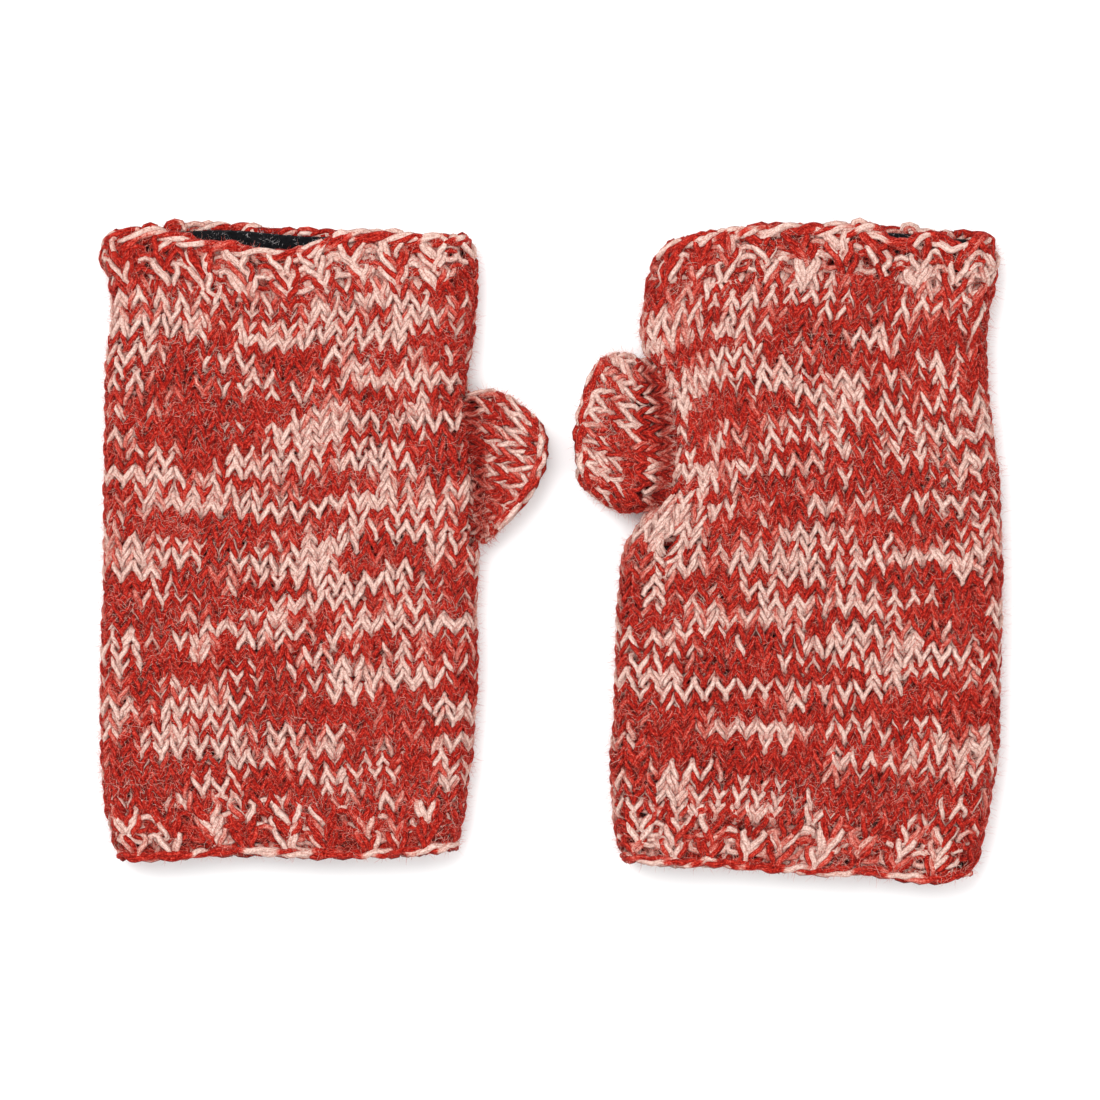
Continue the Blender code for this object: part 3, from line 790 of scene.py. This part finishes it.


def mesh_piece(name, shape, material):
    """A smooth mesh object from millimetre points, with its tints and both UV maps where it has them."""
    verts, quads, tints, uv, bake = shape
    verts[:, 2] = np.maximum(verts[:, 2], FLOOR_GAP)
    mesh = bpy.data.meshes.new(name)
    mesh.vertices.add(len(verts))
    mesh.vertices.foreach_set("co", (verts * MM).astype(np.float32).ravel())
    mesh.loops.add(quads.size)
    mesh.loops.foreach_set("vertex_index", quads.astype(np.int32).ravel())
    mesh.polygons.add(len(quads))
    mesh.polygons.foreach_set("loop_start", (np.arange(len(quads)) * quads.shape[1]).astype(np.int32))
    mesh.update(calc_edges=True)
    mesh.validate()
    mesh.polygons.foreach_set("use_smooth", np.ones(len(mesh.polygons), bool))
    if tints is not None:
        for tint, value in zip(("dye", "shade"), tints.T):
            mesh.attributes.new(tint, "FLOAT", "POINT").data.foreach_set("value", value.astype(np.float32))
    if uv is not None:
        mesh.uv_layers.new(name="Yarn").data.foreach_set("uv", uv.astype(np.float32).ravel())
        mesh.uv_layers.new(name="OFBake").data.foreach_set("uv", bake.astype(np.float32).ravel())
        mesh.uv_layers.active = mesh.uv_layers["Yarn"]
    obj = bpy.data.objects.new(name, mesh)
    bpy.context.scene.collection.objects.link(obj)
    mesh.materials.append(material)
    return obj


def painted_fold_shade(m, shape):
    """Painted shade: darken and redden the yarn in the valley between hand and thumb, where shade falls."""
    _, base_y, half = m["thumb_base"]
    x, y, _ = (shape[0] - SHIFT).T
    clear = x - curve(m["thumb_edge"], y)
    beside = ease(half + 1 - np.abs(y - base_y), 0, 5)
    valley = beside * np.exp(-(clear / VALLEY_WIDE) ** 2)
    shape[2][:] *= 1 - np.outer(valley, VALLEY_LOSS)
    return shape


def add_piece(m, label, shape, material, nodes):
    """One piece of a mitten; nodes are the CAD nodes that it replaces."""
    name = m["name"]
    obj = mesh_piece(f"{name}_{label}", shape, material)
    if nodes:
        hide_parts(*[f"{name}_{n}" for n in nodes])
    return obj


def on_hand(m, label, shape, material, *nodes):
    """A piece that moves with the hand."""
    obj = add_piece(m, label, shape, material, nodes)
    hand = m["name"] + "_hand"
    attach(obj, hand)


def build_hand(m, wool):
    """The hand's knit, its ribs and its two edges."""
    place, hole, seed = partial(hand_point, m), partial(thumb_hole, m), m["seed"]
    for label, rows, nodes in HAND_PIECES:
        shape = knit(place, WALES, rows, seed, ROWS, RIBBED, hole)
        on_hand(m, label, painted_fold_shade(m, shape), wool, *nodes)
    rope = bind_off(place, WALES, ROWS + ROPE_BEYOND, seed + 1)
    on_hand(m, "bind_off_yarn", rope, wool, "finger_bind_off")
    edge = cast_on(place, WALES, -CAST_BEYOND, seed + 2)
    on_hand(m, "cast_on_yarn", edge, wool, "wrist_cast_on")


def build_lining(m, fleece, thread):
    """The fleece, its seam and its hems."""
    seed = m["seed"]
    wrist, finger = LINING_ROWS
    on_hand(m, "lining", lining_shape(m, seed + 3), fleece, "fleece_lining")
    on_hand(m, "lining_overlock", seam_shape(m, seed + 4), fleece, "lining_seam")
    finger_hem = hem_shape(m, finger - HEM_IN, 1, seed + 5)
    on_hand(m, "finger_hem_thread", finger_hem, thread, "finger_hem_stitch")
    wrist_hem = hem_shape(m, wrist + HEM_IN, -1, seed + 6)
    on_hand(m, "wrist_hem_thread", wrist_hem, thread, "wrist_hem_stitch")


def build_fibres(m, loose, pile):
    """The hand's loose fibres, and the curls of the fleece at its openings."""
    place, hole, seed = partial(hand_point, m), partial(thumb_hole, m), m["seed"]
    wrist, finger = FIBRE_ROWS
    for label, rows, more in (("wrist_fibres", (wrist, ROWS / 2), 7),
                              ("finger_fibres", (ROWS / 2, finger), 8)):
        on_hand(m, label, fuzz(place, WALES, rows, seed + more, absent=hole, **LYING), loose)
    standing = fuzz(place, WALES, FIBRE_ROWS, seed + 9, absent=hole, **STANDING)
    on_hand(m, "halo_fibres", standing, loose)
    for label, rows, more in (("finger_pile", (ROWS - PILE_ROWS, ROWS + 0.1), 10),
                              ("wrist_pile", (0.1, PILE_ROWS), 11)):
        on_hand(m, label, fuzz(place, WALES, rows, seed + more, **PILED), pile)


def build_thumb(m, wool, loose):
    """The thumb: its root from hand to base, its tube from base to thumb, its edge, which moves with the
    thumb, and its fibres.
    """
    name, side, seed = m["name"], m["side"], m["seed"]
    hand, base, thumb = name + "_hand", name + "_thumb_base", name + "_thumb"
    base_x, base_y, _ = m["thumb_base"]
    place, last = partial(thumb_point, m), m["thumb_rows"]
    first = int(m["root_rows"])

    def at(x):
        """Point on the thumb's middle line."""
        return ((x + SHIFT[0]) * MM, base_y * MM, THUMB_Z * MM)

    def thumb_knit(rows):
        return painted_fold_shade(m, knit(place, THUMB_WALES, rows, m["thumb_seed"], last))

    root = add_piece(m, "thumb_root_yarn", thumb_knit(range(first)), wool, ["thumb_root"])
    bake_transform(root)
    body = add_piece(m, "thumb_yarn", thumb_knit(range(first, last)), wool, ["thumb_knit"])
    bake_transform(body)
    edge = bind_off(place, THUMB_WALES, last + 0.1, seed + 22)
    chain = add_piece(m, "thumb_bind_off_yarn", edge, wool, ["thumb_bind_off"])
    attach(chain, thumb)
    ends = (m["root_rows"], last + 0.4)
    shape = fuzz(place, THUMB_WALES, ends, seed + 23, **ON_THUMB)
    fibres = add_piece(m, "thumb_fibres", shape, loose, [])
    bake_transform(fibres)


# ---- stage, in metres

FLOOR_HALF = 3.0
CAMERA_UP = 2.2           # above the top of the mittens
TOP = 0.012
FRAME_WIDE = 0.308        # what the camera sees, at that height
SENSOR = 36.0


def lamp(scene, label, where, size, power):
    """A round area light that looks at the origin."""
    data = bpy.data.lights.new(label, "AREA")
    data.shape, data.size, data.energy = "DISK", size, power
    made = bpy.data.objects.new(label, data)
    made.location = where
    direction = -np.array(where)
    made.rotation_euler = (math.atan2(math.hypot(direction[0], direction[1]), -direction[2]), 0,
                           math.atan2(direction[1], direction[0]) - math.pi / 2)
    scene.collection.objects.link(made)


def stage():
    """White floor, pale surroundings, two soft lights, and a camera straight above."""
    scene = bpy.context.scene
    scene.view_settings.view_transform = "Standard"
    floor_mesh = bpy.data.meshes.new("floor")
    s = FLOOR_HALF
    floor_mesh.from_pydata([(-s, -s, 0), (s, -s, 0), (s, s, 0), (-s, s, 0)], [], [(0, 1, 2, 3)])
    floor = bpy.data.objects.new("floor", floor_mesh)
    scene.collection.objects.link(floor)
    paper, _, shader = new_material("paper", 0.9, 0.0)
    shader.inputs["Base Color"].default_value = (0.93, 0.93, 0.93, 1)
    floor_mesh.materials.append(paper)
    world = bpy.data.worlds.new("studio")
    scene.world = world
    world.use_nodes = True
    background = world.node_tree.nodes["Background"]
    background.inputs["Color"].default_value = (1, 1, 1, 1)
    background.inputs["Strength"].default_value = 0.95
    lamp(scene, "key", (-0.35, 0.45, 1.2), 0.9, 14.0)
    lamp(scene, "fill", (0.5, -0.3, 1.2), 1.0, 4.0)
    camera = bpy.data.cameras.new("camera")
    eye = bpy.data.objects.new("camera", camera)
    scene.collection.objects.link(eye)
    eye.location = (SHIFT[0] * MM, 0.0, CAMERA_UP + TOP)
    camera.sensor_width = SENSOR
    camera.lens = SENSOR * CAMERA_UP / FRAME_WIDE
    camera.dof.use_dof = False
    camera.clip_end = 50.0
    scene.camera = eye


wool = wool_material("marled_wool")
loose = wool_material("wool_fibres", spun=False)
fleece = fleece_material()
pile = pile_material()
thread = thread_material()
for mitten in (LEFT, RIGHT):
    build_hand(mitten, wool)
    build_lining(mitten, fleece, thread)
    build_fibres(mitten, loose, pile)
    build_thumb(mitten, wool, loose)
stage()
